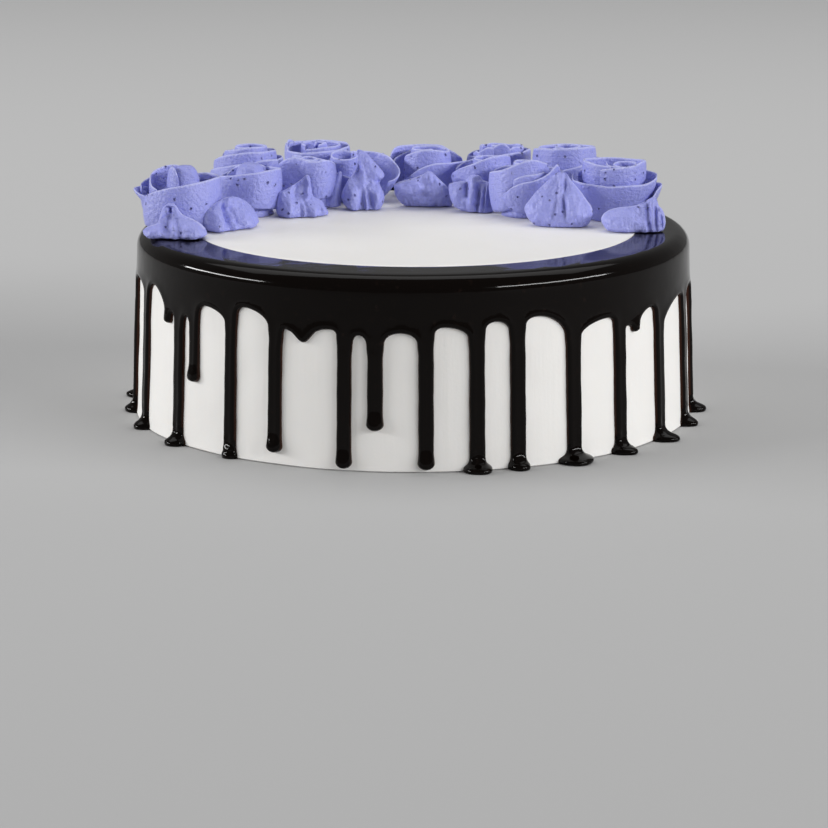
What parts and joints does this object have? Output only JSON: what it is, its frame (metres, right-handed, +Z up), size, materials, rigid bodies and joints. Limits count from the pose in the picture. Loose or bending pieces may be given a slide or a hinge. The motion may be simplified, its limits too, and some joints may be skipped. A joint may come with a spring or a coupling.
{
  "type": "birthday cake with chocolate drip and piped roses",
  "caption": "Round white cream cake with a dark chocolate glaze dripping down its side and a crescent of lilac piped roses and leaves on top.",
  "frame": {"origin": "middle of the cake's base, on the surface that it stands on", "axes": "+Z up through the cake; -Y is the front, with the roses along the back of the top; +X is to the right seen from the front"},
  "size_m": [0.2259, 0.2197, 0.0947],
  "materials": {
    "white_cream": "smooth spread cream, soft satin",
    "chocolate_glaze": "mirror-glossy dark chocolate glaze",
    "lilac_cream": "matte piped cream with fine air bubbles"
  },
  "bodies": {
    "root": {"cake": "white_cream", "chocolate_glaze": "chocolate_glaze", "rose_01": "lilac_cream", "rose_02": "lilac_cream", "rose_03": "lilac_cream", "rose_04": "lilac_cream", "rose_05": "lilac_cream", "rose_06": "lilac_cream", "rose_07": "lilac_cream", "rose_08": "lilac_cream", "rose_09": "lilac_cream", "rose_10": "lilac_cream", "rose_11": "lilac_cream", "rose_12": "lilac_cream", "leaf_01": "lilac_cream", "leaf_02": "lilac_cream", "leaf_03": "lilac_cream", "leaf_04": "lilac_cream", "leaf_05": "lilac_cream", "leaf_06": "lilac_cream", "leaf_07": "lilac_cream", "leaf_08": "lilac_cream", "leaf_09": "lilac_cream", "leaf_10": "lilac_cream", "leaf_11": "lilac_cream", "leaf_12": "lilac_cream", "leaf_13": "lilac_cream", "leaf_14": "lilac_cream"}
  },
  "joints": []
}
